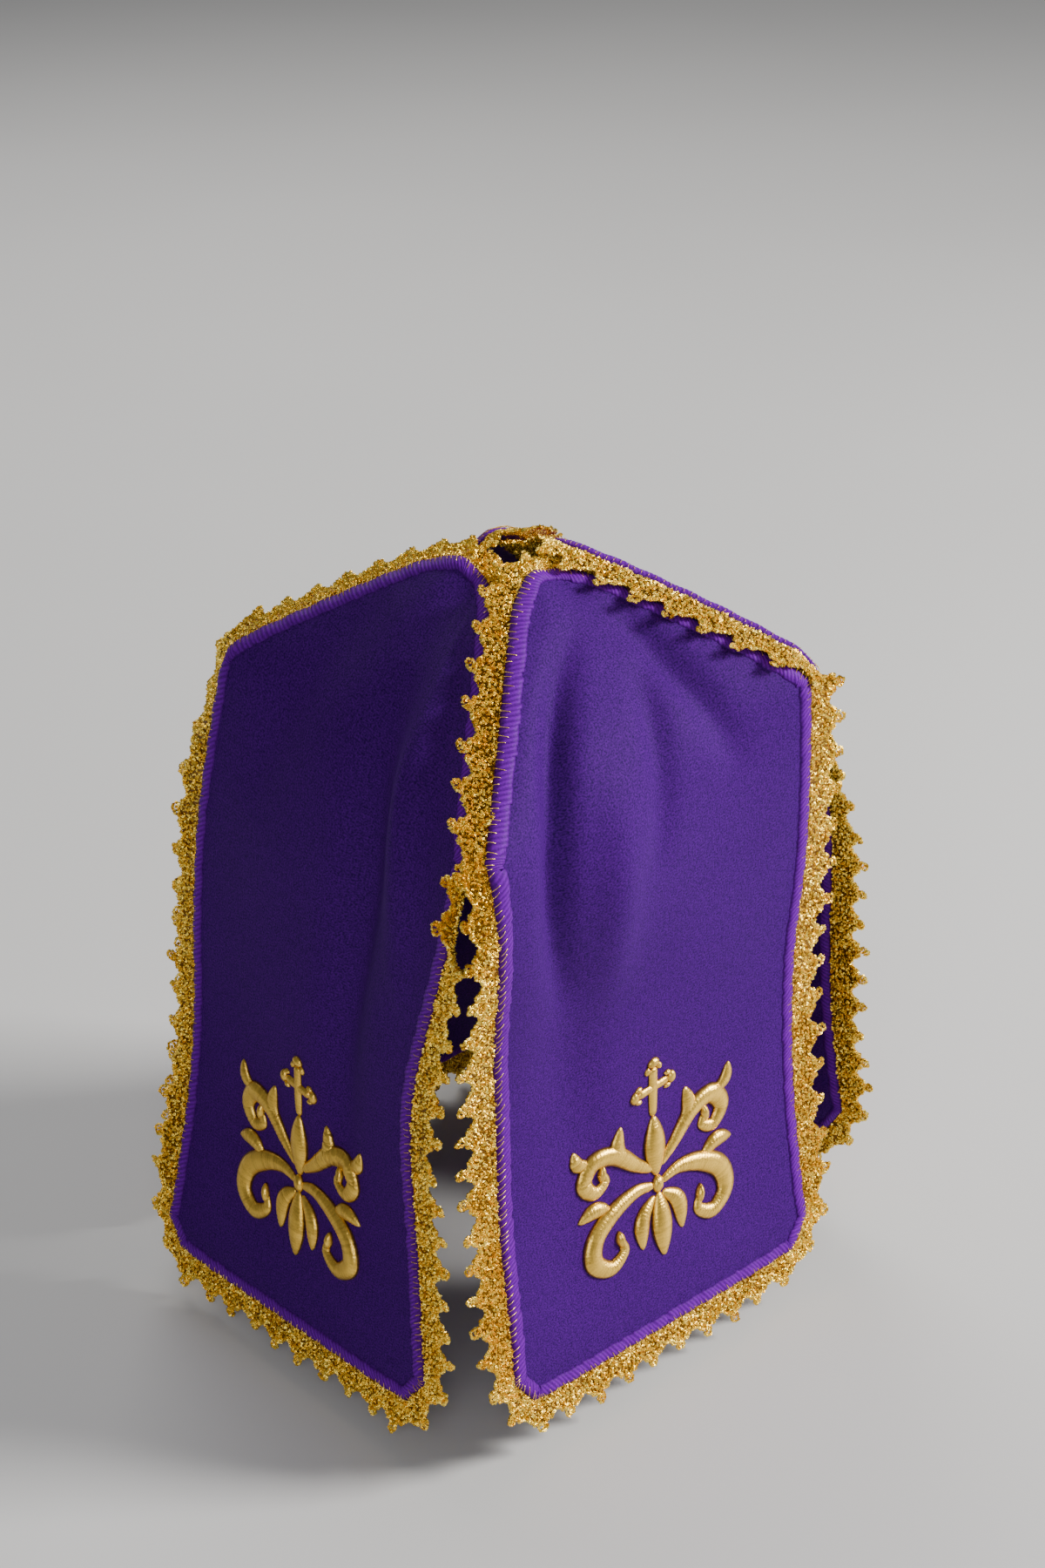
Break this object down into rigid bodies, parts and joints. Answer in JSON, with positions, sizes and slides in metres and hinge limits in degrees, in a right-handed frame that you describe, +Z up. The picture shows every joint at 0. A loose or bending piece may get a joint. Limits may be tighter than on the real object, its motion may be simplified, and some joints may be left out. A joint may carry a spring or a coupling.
{
  "type": "ciborium veil",
  "caption": "Violet cloth veil for a lidded altar vessel: panels joined at the crown fall as a small tent, each edged with gold picot lace and bearing gold embroidery.",
  "frame": {"origin": "under the middle of the crown, on the axis of the hole where the vessel's lid carries the veil", "axes": "+Z up along the crown's axis, -Y the way the front panel faces, +X to that panel's right as seen from outside"},
  "size_m": [0.1623, 0.1407, 0.2033],
  "materials": {
    "violet_cloth": "fine grained crepe satin with a soft sheen",
    "gold_lace": "metallic crochet lace, grainy and sparkling",
    "gold_thread": "raised satin stitch in metallic thread",
    "violet_thread": "glossy overcast satin stitch"
  },
  "bodies": {
    "root": {"panel_front": "violet_cloth", "panel_right": "violet_cloth", "panel_back": "violet_cloth", "panel_left": "violet_cloth", "lace_front": "gold_lace", "lace_right": "gold_lace", "lace_back": "gold_lace", "lace_left": "gold_lace"}
  },
  "joints": []
}
